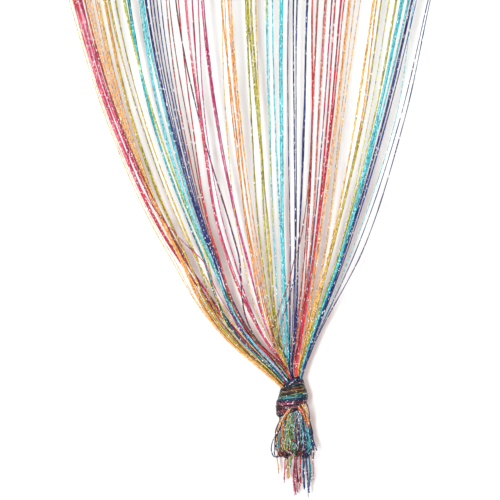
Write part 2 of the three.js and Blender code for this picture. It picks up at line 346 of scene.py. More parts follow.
def tubes(name, strands, sides=STRING_SIDES, folds=1):
    """One mesh with a closed flat tube for each strand, and two UV maps.

    Strand holds how far round the string a corner is, and how far along it in metres.
    """
    paths = np.array([s.path for s in strands])
    total, count, _ = paths.shape
    across, outward = frames(paths, [s.side for s in strands])
    steps = np.linalg.norm(np.diff(paths, axis=1), axis=2)
    along = np.concatenate([np.zeros((total, 1)), np.cumsum(steps, axis=1)], axis=1)
    progress = along / along[:, -1:]
    turn = np.array([[s.phase] for s in strands]) + TAU * progress * [[s.turns] for s in strands]
    angle = np.arange(sides) * TAU / sides
    wide = np.array([s.half_width for s in strands])[:, :, None] * np.cos(angle)
    thick = np.array([s.half_thickness for s in strands])[:, :, None] * np.sin(angle)
    cos_turn = np.cos(turn)[:, :, None]
    sin_turn = np.sin(turn)[:, :, None]
    u = wide * cos_turn - thick * sin_turn
    v = wide * sin_turn + thick * cos_turn
    corners = paths[:, :, None] + u[..., None] * across[:, :, None] + v[..., None] * outward[:, :, None]

    number = np.arange(total * count * sides).reshape(total, count, sides)
    after = np.roll(number, -1, axis=2)
    quads = np.stack([number[:, :-1], after[:, :-1], after[:, 1:], number[:, 1:]], axis=-1)
    caps = np.stack([number[:, 0, ::-1], number[:, -1]], axis=1)
    faces = quads.reshape(-1, 4).tolist() + caps.reshape(-1, sides).tolist()
    mesh = bpy.data.meshes.new(name)
    mesh.from_pydata(corners.reshape(-1, 3).tolist(), [], faces)
    mesh.polygons.foreach_set("use_smooth", [True] * len(faces))

    around = np.broadcast_to(np.arange(sides) / sides, (total, count - 1, sides))
    corner_around = np.stack([around, around + 1 / sides, around + 1 / sides, around], axis=-1)
    start = np.broadcast_to(along[:, :-1, None], around.shape)
    end = np.broadcast_to(along[:, 1:, None], around.shape)
    corner_along = np.stack([start, start, end, end], axis=-1)
    cap_along = np.repeat(along[:, [0, -1]], sides, axis=1)
    cap_around = np.full(cap_along.shape, 0.5)
    add_uv(mesh, "Strand", corner_around, cap_around, corner_along, cap_along)

    per_fold = math.ceil((count - 1) / folds)
    ring = np.arange(count - 1)
    fold = ring // per_fold
    local = (ring - fold * per_fold) / per_fold
    band = np.arange(total)[:, None] * folds + fold[None, :]
    band = np.broadcast_to(band[:, :, None, None], corner_around.shape)
    left = np.broadcast_to((BAKE_LEFT + BAKE_LENGTH * local)[None, :, None], around.shape)
    right = left + BAKE_LENGTH / per_fold
    bake_u = np.stack([left, left, right, right], axis=-1)
    bands = total * folds
    bake_v = (band + BAKE_BELOW + BAKE_ROUND * corner_around) / bands
    cap_x = np.stack([np.cos(angle)[::-1], np.cos(angle)])
    cap_y = np.stack([np.sin(angle)[::-1], np.sin(angle)])
    cap_band = (np.arange(total) * folds + 0.5) / bands
    cap_u = np.broadcast_to(np.array(CAP_MIDDLES)[:, None] + CAP_RADIUS * cap_x, (total, 2, sides))
    cap_v = cap_band[:, None, None] + CAP_HEIGHT / bands * cap_y
    add_uv(mesh, "OFBake", bake_u, cap_u, bake_v, cap_v)

    # Dye is each string's dye with its random tone and its painted shading, which is painted shade.
    dyes = np.ones((total, count, sides, 4))
    dyes[..., :3] = np.array([s.dye for s in strands])[:, None, None]
    dyes[..., :3] *= np.array([s.fade for s in strands])[:, :, None, None]
    mesh.attributes.new("Dye", "FLOAT_COLOR", "POINT").data.foreach_set("color", dyes.reshape(-1))
    seeds = np.repeat([s.seed for s in strands], count * sides)
    mesh.attributes.new("Seed", "FLOAT", "POINT").data.foreach_set("value", seeds)
    mesh.validate()
    return linked(name, mesh)


class Surface:
    """A material under construction: short calls for its nodes and the links between them."""

    def __init__(self, name):
        self.material = bpy.data.materials.new(name)
        self.material.use_nodes = True
        self.nodes = self.material.node_tree.nodes
        self.links = self.material.node_tree.links
        self.shader = self.nodes["Principled BSDF"]

    def feed(self, socket, value):
        if isinstance(value, bpy.types.NodeSocket):
            self.links.new(value, socket)
        else:
            socket.default_value = value

    def node(self, kind, inputs=(), **settings):
        made = self.nodes.new(kind)
        for key, value in settings.items():
            setattr(made, key, value)
        for key, value in dict(inputs).items():
            self.feed(made.inputs[key], value)
        return made

    def math(self, operation, a, b=0.0, c=0.0):
        made = self.node("ShaderNodeMath", {0: a, 1: b, 2: c}, operation=operation)
        return made.outputs[0]

    def times(self, a, b):
        return self.math("MULTIPLY", a, b)

    def blend(self, a, b, share, kind="MIX"):
        """Mixes two colours."""
        made = self.node("ShaderNodeMix", {0: share, 6: a, 7: b}, data_type="RGBA", blend_type=kind)
        return made.outputs[2]

    def combine(self, x, y, z=0.0):
        return self.node("ShaderNodeCombineXYZ", {0: x, 1: y, 2: z}).outputs[0]

    def noise(self, vector, scale, detail=2.0, rough=0.5):
        made = self.node("ShaderNodeTexNoise",
                         {"Vector": vector, "Scale": scale, "Detail": detail, "Roughness": rough})
        return made.outputs[0]

    def step(self, value, low, high):
        """Rises smoothly from 0 to 1 as the value goes from low to high."""
        made = self.node("ShaderNodeMapRange",
                         {"Value": value, "From Min": low, "From Max": high},
                         interpolation_type="SMOOTHSTEP")
        return made.outputs[0]

    def patches(self, vector, pattern):
        """A pattern's value: 1 inside its patches and 0 between them, with soft edges."""
        value = self.noise(vector, pattern.scale, pattern.detail, pattern.rough)
        return self.step(value, pattern.low, pattern.high)

    def deepen(self, colour):
        """A darker and stronger tone of a colour: the colour times itself."""
        return self.blend(colour, colour, 1.0, "MULTIPLY")

    def give(self, values):
        """Sets inputs of the shader, or feeds them from other nodes."""
        for key, value in values.items():
            self.feed(self.shader.inputs[key], value)

    def bump(self, height, strength, distance):
        made = self.node("ShaderNodeBump",
                         {"Height": height, "Strength": strength, "Distance": distance})
        self.give({"Normal": made.outputs[0]})


# Patterns of patches: how many features to a metre, their detail and roughness, and the noise values
# between which the patches begin.
Pattern = namedtuple("Pattern", "scale detail rough low high")
DARK_STRETCHES = Pattern(90.0, 1.0, 0.5, 0.54, 0.66)
DARK_SPECKS = Pattern(240.0, 1.5, 0.6, 0.53, 0.61)
GLINT_FLAKES = Pattern(280.0, 1.0, 0.5, 0.63, 0.69)
TAPE_FLECKS = Pattern(420.0, 2.0, 0.5, 0.58, 0.7)

# The yarn: how much a dark stretch counts beside a speck, the twist of its plies, the painted shade in
# the grooves between the plies, how its dye darkens in the dark places, and the painted glints on the
# foil.
STRETCH_DARK = 0.7
LANE_STEP = 3.0
OTHER_LANE = 5.0
FLAKE_WRAP = 3 * MM
PLY_LENGTH = 2.6 * MM
PLIES = 2
GROOVE = (-1.0, 0.2)
GROOVE_PAINTED_SHADE = 0.6
DARK_TINT = (0.5, 0.44, 0.44, 1)
GLINT_WHITE = (1, 1, 1, 1)
GLINT_SHARE = 0.85
PLY_BUMP = 0.45
PLY_RELIEF = 0.3 * MM


def yarn(name, dark_share, glint_share, metallic, roughness):
    """Tinsel yarn: twisted plies with painted shade in their grooves, dark specks and stretches, and
    flakes of foil lightened towards white as painted glints.
    """
    s = Surface(name)
    place = s.node("ShaderNodeUVMap", uv_map="Strand").outputs[0]
    parts = s.node("ShaderNodeSeparateXYZ", {0: place})
    around = parts.outputs[0]
    along = parts.outputs[1]
    dye = s.node("ShaderNodeAttribute", attribute_name="Dye").outputs["Color"]
    seed = s.node("ShaderNodeAttribute", attribute_name="Seed").outputs["Fac"]
    lane = s.times(seed, LANE_STEP)
    other_lane = s.math("MULTIPLY_ADD", seed, LANE_STEP, OTHER_LANE)
    stretch = s.patches(s.combine(along, lane), DARK_STRETCHES)
    speck = s.patches(s.combine(along, other_lane), DARK_SPECKS)
    dark = s.math("MAXIMUM", s.times(stretch, STRETCH_DARK), speck)
    wrapped = s.times(around, FLAKE_WRAP)
    flake = s.patches(s.combine(along, lane, wrapped), GLINT_FLAKES)
    turn = s.math("MULTIPLY_ADD", along, TAU / PLY_LENGTH, s.times(around, PLIES * TAU))
    plies = s.math("SINE", turn)
    groove = s.step(plies, *GROOVE)
    deep = s.deepen(dye)
    deeper = s.blend(deep, DARK_TINT, 1.0, "MULTIPLY")
    # Painted glints: the foil's flakes are lightened towards white.
    glint = s.blend(dye, GLINT_WHITE, GLINT_SHARE)
    # Painted shade: the dye darkens in the grooves between the plies.
    body = s.blend(deep, dye, s.math("MULTIPLY_ADD", groove, 1 - GROOVE_PAINTED_SHADE, GROOVE_PAINTED_SHADE))
    speckled = s.blend(body, deeper, s.times(dark, dark_share))
    colour = s.blend(speckled, glint, s.times(flake, glint_share))
    s.give({"Base Color": colour, "Metallic": metallic, "Roughness": roughness})
    s.bump(plies, PLY_BUMP, PLY_RELIEF)
    return s.material


# The heading's tape: where the weft lies on top, how worn the dyes are, and the two paler threads.
WEFT_OVER = (0.1, 0.7)
WEFT_SHARE = 0.6
WEFT_COLOUR = (0.55, 0.44, 0.28, 1)
WEAR_SCALE = 60.0
WEAR_SHARE = 0.9
FLECK_SHARE = 0.35
FLECK_COLOUR = (0.9, 0.86, 0.8, 1)
WARP_RELIEF = 0.5
WEAVE_BUMP = 0.5
WEAVE_RELIEF = 0.4 * MM


def woven(name):
    """The heading's tape: the strings as its warp, and a fine pale weft over and under them."""
    s = Surface(name)
    spot = s.node("ShaderNodeTexCoord").outputs["Object"]
    parts = s.node("ShaderNodeSeparateXYZ", {0: spot})
    x = parts.outputs[0]
    z = parts.outputs[2]
    dye = s.node("ShaderNodeAttribute", attribute_name="Dye").outputs["Color"]
    warp = s.math("SINE", s.times(x, TAU / WARP_PITCH))
    side = s.math("SIGN", s.math("SINE", s.times(x, math.pi / WARP_PITCH)))
    weft = s.times(s.math("SINE", s.times(z, TAU / WEFT_PITCH)), side)
    over = s.step(weft, *WEFT_OVER)
    fleck = s.patches(spot, TAPE_FLECKS)
    worn = s.blend(dye, s.deepen(dye), s.times(s.noise(spot, WEAR_SCALE), WEAR_SHARE))
    warp_colour = s.blend(worn, FLECK_COLOUR, s.times(fleck, FLECK_SHARE))
    colour = s.blend(warp_colour, WEFT_COLOUR, s.times(over, WEFT_SHARE))
    s.give({"Base Color": colour, "Roughness": 0.62, "Sheen Weight": 0.25, "Metallic": 0.1})
    height = s.math("ADD", s.times(warp, WARP_RELIEF), weft)
    s.bump(height, WEAVE_BUMP, WEAVE_RELIEF)
    return s.material


# The order of work: the strings, the heading that they leave, the knot, the folded bundle, the ends.
rng = random.Random(41)
string_total = sum(bunch.count for bunch in BUNCHES) + len(STRAYS)
STRING_PITCH = -2 * FIRST_STRING / (string_total - 1)
WARP_PITCH = STRING_PITCH / 4
WEFT_PITCH = 1.6 * MM


def scatter(most):
    """A random amount to either side of nothing."""
    return rng.uniform(-most, most)


def hang_depth(x):
    """How far to the front or the back the curtain hangs at a place across it."""
    return DEPTH_WAVE * math.sin(TAU * x / DEPTH_WAVE_LENGTH)


def waver(down, amount):
    """A small irregular sway along a string, none at the heading and little at the knot."""
    sway = np.zeros_like(down)
    for _ in range(SWAY_WAVES):
        length = rng.uniform(*SWAY_LENGTHS)
        sway += math.sqrt(length) * np.sin(TAU * (down / length + rng.random()))
    held_above = np.clip((down - HEADING_HEIGHT) / SWAY_START, 0, 1)
    held_below = np.clip((SWAY_END - down) / SWAY_STOP, SWAY_LEAST, 1)
    return amount * sway * held_above * held_below


def string_levels(end):
    """The levels at which a string's points are made, closer together near the knot."""
    fan = np.linspace(STRING_TOP, LOW, FAN_POINTS)
    closing = np.linspace(LOW, end, CLOSING_POINTS)
    return np.concatenate([fan, closing[1:]])


def string_strand(dye, levels, places, depths, share=1.0):
    """One string through the given places across and to the back at the given levels."""
    down = string_levels(levels[-1])
    line = smooth_line(levels, np.stack([places, depths], axis=1), down)
    across = line[:, 0] + waver(down, SWAY_ACROSS)
    back = line[:, 1] + waver(down, SWAY_BACK)
    path = np.stack([across, back, -down], axis=1)
    turns = (levels[-1] - HEADING_HEIGHT) / rng.uniform(*TURN_LENGTH)
    swell = share * np.interp(down, [LOW, NECK], [FAN_SWELL, 1.0])
    return Strand(path, dye, rng, width=STRING_WIDTH * rng.uniform(*WIDTH_SCATTER) * swell,
                  thickness=STRING_THICKNESS * swell, turns=turns, phase=rng.uniform(0, TAU))


def bunch_strings(bunch, first):
    """The strings of one bunch, each with its dye. The first leaves the heading at the given number."""
    made = []
    dyes = bunch.dyes.split()
    for i in range(bunch.count):
        rank = (i + 0.5) / bunch.count * 2 - 1
        aside = 0.5 * bunch.spread * mix(rank, scatter(1), ROW_SCATTER)
        start = FIRST_STRING / MM + (first + i) * STRING_PITCH / MM
        high = bunch.high + aside
        pile = scatter(1)
        hang = hang_depth(bunch.high * MM) / MM
        neck = bunch.neck + NECK_ROW * aside + scatter(SIDE_SCATTER)
        gather = bunch.gather + GATHER_ROW * aside + scatter(SIDE_SCATTER)
        places = [start, mix(start, high, UPPER_SHARE), high, bunch.middle + MIDDLE_ROW * aside,
                  bunch.low + LOW_ROW * aside, gather, neck, np.interp(neck, AT_NECK, END_ACROSS)]
        at_low, at_gather, at_neck, at_end = (depth * pile for depth in PILES)
        depths = [0, hang / 2, hang, hang, hang / 2 - LOW_FRONT * bunch.front + at_low,
                  at_gather - bunch.front, at_neck - bunch.front, at_end - END_FRONT * bunch.front]
        levels = [STRING_TOP, UPPER, HIGH, MIDDLE, LOW, GATHER, NECK,
                  np.interp(neck, AT_NECK, END_DOWN) * MM]
        dye = dyes[i % len(dyes)]
        strand = string_strand(dye, levels, np.array(places) * MM, np.array(depths) * MM, bunch.width)
        made.append((dye, strand))
    return made


# The crossing strings lie in front of the others below their first places.
STRAY_FRONT = -9 * MM
STRAY_WIDTH = 0.9


def stray_string(stray, first):
    """A string that crosses the others, and leaves the heading at the given number."""
    start = FIRST_STRING + first * STRING_PITCH
    across = [start, mix(start, stray.places[0][0] * MM, UPPER_SHARE)]
    levels = [STRING_TOP, UPPER]
    for x, down in stray.places:
        across.append(x * MM)
        levels.append(down * MM)
    hang = hang_depth(stray.places[0][0] * MM)
    depths = [0, hang / 2, hang, hang]
    depths += [STRAY_FRONT] * (len(levels) - len(depths))
    return string_strand(stray.dye, levels, across, depths, STRAY_WIDTH)


strings = []
waiting = sorted(STRAYS, key=lambda stray: stray.places[0][0])
for bunch in BUNCHES:
    while waiting and waiting[0].places[0][0] < bunch.high:
        stray = waiting.pop(0)
        strings.append((stray.dye, stray_string(stray, len(strings))))
    strings.extend(bunch_strings(bunch, len(strings)))

STRING_FOLDS = 3
string_yarn = yarn("tinsel_yarn", dark_share=0.85, glint_share=0.85, metallic=0.2, roughness=0.42)
for family, dyes in FAMILIES.items():
    chosen = [strand for dye, strand in strings if dye in dyes]
    piece = tubes(f"{family}_strings", chosen, folds=STRING_FOLDS)
    dress(piece, string_yarn, "strings")

# The heading: a flat tape with a rib for each string, closed all round, and a rounded lower edge. Its
# rows are levels below the top edge in millimetres, with the share of its thickness there.
HEADING_WIDTH = 900 * MM
HEADING_HALF = 1.1 * MM
RIB_HEIGHT = 0.25 * MM
RIB_COLUMNS = 4
HEADING_ROWS = [(0.0, 0.55), (0.4, 0.9), (1.2, 1), (6, 1), (13, 1), (20, 1), (27, 1), (34, 1),
                (38.4, 1), (39.5, 0.85), (40, 0.5)]

# The way round a face of the front and of the back, as steps down and to the right.
FACE_STEPS = [[(0, 0), (1, 0), (1, 1), (0, 1)], [(0, 0), (0, 1), (1, 1), (1, 0)]]

# OFBake lays the front and the back out side by side, in bands, and the edges in a strip above them.
HEADING_BANDS = 8
TAPE_LEFT = 0.01
TAPE_LENGTH = 0.98
TAPE_BELOW = 0.03
TAPE_HEIGHT = 0.9
EDGE_LEFT = 0.2
EDGE_LENGTH = 0.5
EDGE_BOTTOM = 0.9962
EDGE_HEIGHT = 0.003


def heading_tape():
    """The tape as one closed mesh: its front, its back and the narrow faces between their edges."""
    columns = string_total * RIB_COLUMNS + 1
    across = np.linspace(-HEADING_WIDTH / 2, HEADING_WIDTH / 2, columns)
    rib = np.abs(np.sin(math.pi * np.arange(columns) / RIB_COLUMNS))
    corners = []
    for side in (-1, 1):
        for down, share in HEADING_ROWS:
            back = side * (HEADING_HALF * share + RIB_HEIGHT * rib * share)
            corners.append(np.stack([across, back, np.full(columns, -down * MM)], axis=1))

    rows = len(HEADING_ROWS)
    depth = np.array([down for down, _ in HEADING_ROWS]) / HEADING_ROWS[-1][0]
    per_band = math.ceil((columns - 1) / HEADING_BANDS)
    number = np.arange(2 * rows * columns).reshape(2, rows, columns)
    faces = []
    uv = []
    for side, steps in enumerate(FACE_STEPS):
        for row in range(rows - 1):
            for i in range(columns - 1):
                band = i // per_band
                around = [(row + down, i + right) for down, right in steps]
                faces.append([number[side, level, column] for level, column in around])
                for level, column in around:
                    local = (column - band * per_band) / per_band
                    uv.append(((side + TAPE_LEFT + TAPE_LENGTH * local) / 2,
                               (band + TAPE_BELOW + TAPE_HEIGHT * depth[level]) / HEADING_BANDS))

    front, back = number
    edges = []
    for i in range(columns - 1):
        edges.append([front[0, i], front[0, i + 1], back[0, i + 1], back[0, i]])
        edges.append([front[-1, i + 1], front[-1, i], back[-1, i], back[-1, i + 1]])
    for row in range(rows - 1):
        edges.append([front[row, 0], back[row, 0], back[row + 1, 0], front[row + 1, 0]])
        edges.append([back[row, -1], front[row, -1], front[row + 1, -1], back[row + 1, -1]])
    for i in range(len(edges)):
        u = (i + EDGE_LEFT) / len(edges)
        for right, up in ((0, 0), (1, 0), (1, 1), (0, 1)):
            uv.append((u + right * EDGE_LENGTH / len(edges), EDGE_BOTTOM + up * EDGE_HEIGHT))

    mesh = bpy.data.meshes.new("heading_tape")
    whole = [[int(n) for n in face] for face in faces + edges]
    mesh.from_pydata(np.concatenate(corners).tolist(), [], whole)
    mesh.polygons.foreach_set("use_smooth", [True] * len(whole))
    mesh.uv_layers.new(name="OFBake").data.foreach_set("uv", np.array(uv).reshape(-1))
    dyes = np.ones((2, rows, columns, 4))
    for i in range(columns):
        dye, _ = strings[min(i // RIB_COLUMNS, string_total - 1)]
        dyes[:, :, i, :3] = linear(dye)
    mesh.attributes.new("Dye", "FLOAT_COLOR", "POINT").data.foreach_set("color", dyes.reshape(-1))
    mesh.validate()
    return linked("heading_tape", mesh)


heading = heading_tape()
dress(heading, woven("woven_tape"), "heading")

# The knot's outline: levels below the heading's top edge, the middle across, the half width and the
# half depth, in millimetres.
KNOT_LEVELS = [1496, 1499, 1506, 1511, 1520, 1528, 1537, 1543, 1549, 1554, 1562, 1569, 1573]
KNOT_MIDDLE = [77, 76.2, 75.2, 73, 73.5, 74.2, 72.7, 70, 67.4, 63, 56, 53, 52.5]
KNOT_HALF_WIDTH = [8, 11.6, 16.6, 20, 22.5, 24.9, 26.7, 26.1, 24.4, 19.5, 12.5, 7, 4]
KNOT_HALF_DEPTH = [8, 11, 14, 16, 18.5, 20, 20.5, 20.5, 19.5, 17.5, 14, 9, 5]

# Its strings wind round it in arcs that stand highest in front. Each row has the levels of a string
# at the left edge, in front and at the right edge, and the dyes of the strings from that row down to
# the next one.
Turn = namedtuple("Turn", "left front right dyes")
TURNS = [Turn(*row) for row in [
    (1514.5, 1500, 1503, "navy ink navy blue ink navy"),
    (1521.4, 1506.5, 1507.5, "silver ink purple ink rose navy ink"),
    (1524.8, 1512.5, 1513, "teal ink green maroon"),
    (1527.5, 1517, 1517.5, "gold brown gold maroon gold brown"),
    (1530.8, 1523, 1523.1, "ink olive lime teal"),
    (1535, 1528.5, 1528.2, "turquoise aqua aqua turquoise aqua teal"),
    (1540.1, 1534.6, 1533.3, "blue navy ink navy"),
    (1543.5, 1539.3, 1537.6, "magenta navy ink rose purple ink"),
    (1547.4, 1544.8, 1541.8, "red maroon red magenta maroon ink"),
    (1553.7, 1550.8, 1545.9, "silver ink red maroon"),
    (1558.8, 1555.4, 1549.5, "maroon red ink purple ink"),
    (1566.5, 1562, 1553, "teal"),
]]
TURN_POINTS = 84
KNOT_STRING_WIDTH = 2.0 * MM
KNOT_STRING_THICKNESS = 1.5 * MM
# How much darker the knot's strings are painted towards its left and right sides: painted shade.
KNOT_SIDE_PAINTED_SHADE = 0.76

# How a turn varies: its levels, where it starts at the back in radians, how often it goes round, its
# ripple, its lift off the outline, and its width. A share of it at each end is tucked in, and a dark
# ink string lies under it as painted shade between the turns. Other lengths are in millimetres.
LEVEL_SCATTER = 0.9
START_SCATTER = 0.6
TURN_ROUND = (1.03, 1.12)
TURN_RIPPLE = 0.45
TURN_LIFT = 0.35
LIFT_WAVES = (1.5, 3.5)
TUCK_SHARE = 0.06
TUCK_SIZE = 0.6
TURN_INSET = 0.9
TURN_TWIST = 0.4
TURN_WIDTHS = (0.8, 1.1)
OVER_SINK = (0, 1.1)
UNDER_SINK = (1.6, 2.4)
UNDER_DROP = 1.0


def knot_outline(down):
    """The knot's middle, half width and half depth at a level or at many."""
    return [np.interp(down, KNOT_LEVELS, row) for row in (KNOT_MIDDLE, KNOT_HALF_WIDTH, KNOT_HALF_DEPTH)]


def knot_strand(levels, dye, sink):
    """One string wound once round the knot. Its levels are at the left, in front and at the right."""
    left, front, right = (level + scatter(LEVEL_SCATTER) for level in levels)
    t = np.linspace(0, 1, TURN_POINTS)
    start = math.pi / 2 + scatter(START_SCATTER)
    angle = start + TAU * t * rng.uniform(*TURN_ROUND)
    lie = (left + right) / 2 + (right - left) / 2 * np.cos(angle)
    bow = (left + right) / 2 - front
    down = lie + bow * np.sin(angle) + TURN_RIPPLE * np.sin(2 * angle + rng.uniform(0, TAU))
    tuck = np.clip(np.minimum(t, 1 - t) / TUCK_SHARE, 0, 1)
    tuck = mix(TUCK_SIZE, 1, tuck * tuck * (3 - 2 * tuck))
    lift = TURN_LIFT * np.sin(angle * rng.uniform(*LIFT_WAVES) + rng.uniform(0, TAU)) - sink
    middle, half_width, half_depth = knot_outline(down)
    across = middle + (half_width - TURN_INSET + lift) * tuck * np.cos(angle)
    back = (half_depth - TURN_INSET + lift) * tuck * np.sin(angle)
    path = np.stack([across, back, -down], axis=1) * MM
    # Its dye is much darker than that of the same strings in the fan, and darker still towards the
    # knot's sides: painted shade.
    return Strand(path, dye, rng, width=KNOT_STRING_WIDTH * rng.uniform(*TURN_WIDTHS),
                  thickness=KNOT_STRING_THICKNESS, side=(0, 0, 1), turns=scatter(TURN_TWIST),
                  phase=scatter(TURN_TWIST), shade=(0.17, 0.69),
                  fade=1 - KNOT_SIDE_PAINTED_SHADE * np.abs(np.cos(angle)) ** 2)


def core_tube(name, rows):
    """A thick dark tube, painted shade where the strings round it part, through rows of level, middle,
    half width and half depth in millimetres.
    """
    down, middle, half_width, half_depth = np.array(rows, float).T
    path = np.stack([middle, 0 * down, -down], axis=1) * MM
    strand = Strand(path, "ink", rng, width=2 * half_width * MM, thickness=2 * half_depth * MM)
    return tubes(name, [strand], sides=CORE_SIDES)


knot_yarn = yarn("wound_yarn", dark_share=0.95, glint_share=0.6, metallic=0.3, roughness=0.32)
knot_pieces = []
for number, (turn, following) in enumerate(zip(TURNS[:-1], TURNS[1:])):
    dyes = turn.dyes.split()
    chosen = []
    for i, dye in enumerate(dyes):
        levels = [mix(a, b, i / len(dyes)) for a, b in zip(turn[:3], following[:3])]
        lower = [level + UNDER_DROP for level in levels]
        chosen.append(knot_strand(levels, dye, rng.uniform(*OVER_SINK)))
        # Painted shade: a dark ink string under each string of the turn.
        chosen.append(knot_strand(lower, "ink", rng.uniform(*UNDER_SINK)))
    knot_pieces.append(tubes(f"knot_turn_{number + 1}", chosen))

# The bundle inside the turns, seen only where they part: a dark ink tube that is painted shade.
KNOT_CORE_LEVELS = [1499, 1502, 1508, 1518, 1530, 1542, 1550, 1558, 1564]
KNOT_CORE_INSET = 3.5
core_rows = []
for down in KNOT_CORE_LEVELS:
    middle, half_width, half_depth = knot_outline(down)
    core_rows.append((down, middle, half_width - KNOT_CORE_INSET, half_depth - KNOT_CORE_INSET))
knot_pieces.append(core_tube("knot_core", core_rows))
for piece in knot_pieces:
    dress(piece, knot_yarn, "knot")

# The folded bundle: strings that come down round an oval, turn inwards and go back up inside it.
# Its rows go from the top down: level below the heading's top edge, middle, half width and half
# depth in millimetres. Below the last row a string goes further down by the millimetres of
# FOLD_TURN, and inwards to its shares of the oval.
FOLD_ROWS = [
    (1545, 72.5, 13, 8),
    (1558, 73.1, 20.2, 12.5),
    (1569, 74.8, 23.6, 15.5),
    (1581, 75.6, 25.8, 17),
    (1593, 75.1, 29.2, 18.2),
    (1606, 75.4, 31.4, 19),
    (1615, 75.4, 32.2, 19.2),
]
FOLD_TURN = [(7, 0.97), (11, 0.86), (12, 0.72), (8, 0.6), (-4, 0.52), (-22, 0.45), (-44, 0.36)]
FOLD_POINTS = 52
FOLD_DYES = ("teal orange aqua turquoise aqua orange orange maroon gold lime green aqua lime green aqua "
             "green brown aqua orange teal navy silver navy maroon aqua blue purple teal turquoise aqua "
             "teal turquoise teal navy").split()
# The inner strings are dark, with ink among them: partly their own dyes, and partly painted shade where
# they lie in the fold's shadow.
INNER_DYES = ("brown maroon teal brown ink maroon teal brown olive teal maroon brown maroon ink purple "
              "navy teal").split()

# How a string of the fold varies: its lean round the oval in radians, the wave of its slack from row
# to row, its bulge, and how far it goes below the oval. Its widths are in millimetres.
FOLD_LEAN = 0.16
SLACK_STEP = 1.7
FOLD_BULGE = (0.965, 1.02)
FOLD_REACH = (0.9, 1.1)
FOLD_STRING_WIDTHS = (1.2, 1.7)
FOLD_STRING_THICKNESS = 1.0 * MM
FOLD_TWIST = 1.2
FOLD_PHASE = 0.8


def fold_strand(angle, dye, size, drop, slack):
    """One string of the folded bundle at an angle round it, with its own size and extra drop."""
    lean = scatter(FOLD_LEAN)
    sway = rng.uniform(0, TAU)
    points = []
    last = len(FOLD_ROWS) - 1
    for row, (down, middle, half_width, half_depth) in enumerate(FOLD_ROWS):
        turn = angle + lean * row / last + slack * math.sin(SLACK_STEP * row + sway)
        bulge = size * rng.uniform(*FOLD_BULGE)
        points.append((middle + bulge * half_width * math.cos(turn),
                       bulge * half_depth * math.sin(turn),
                       -down - drop * row / last))
    down, middle, half_width, half_depth = FOLD_ROWS[-1]
    for further, inwards in FOLD_TURN:
        points.append((middle + size * inwards * half_width * math.cos(angle + lean),
                       size * inwards * half_depth * math.sin(angle + lean),
                       -down - drop - further * rng.uniform(*FOLD_REACH)))
    path = flowing(np.array(points) * MM, FOLD_POINTS)
    # Its dye is darker than that of the same strings in the fan: painted shade.
    return Strand(path, dye, rng, width=rng.uniform(*FOLD_STRING_WIDTHS) * MM,
                  thickness=FOLD_STRING_THICKNESS, side=(-math.sin(angle), math.cos(angle), 0),
                  turns=scatter(FOLD_TWIST), phase=scatter(FOLD_PHASE), shade=(0.34, 0.8))


def fold_round(count, astray, dyes, dye_astray, sizes, drops, slack):
    """A round of the fold's strings, with dyes from left to right, and how far each may go astray."""
    made = []
    for i in range(count):
        angle = TAU * (i + scatter(astray)) / count
        place = (1 + math.cos(angle)) / 2 + scatter(dye_astray)
        dye = dyes[int(np.clip(place * len(dyes), 0, len(dyes) - 1))]
        made.append(fold_strand(angle, dye, rng.uniform(*sizes), rng.uniform(*drops), slack))
    return made


tassel_yarn = yarn("tassel_yarn", dark_share=0.92, glint_share=0.95, metallic=0.25, roughness=0.38)
outer = fold_round(240, 0.6, FOLD_DYES, 0.03, sizes=(0.9, 1.03), drops=(-17, 1), slack=0.05)
inner = fold_round(100, 0.5, INNER_DYES, 0.05, sizes=(0.84, 0.92), drops=(2, 11), slack=0.08)
fold_pieces = [tubes("fold_outer_strings", outer), tubes("fold_inner_strings", inner)]

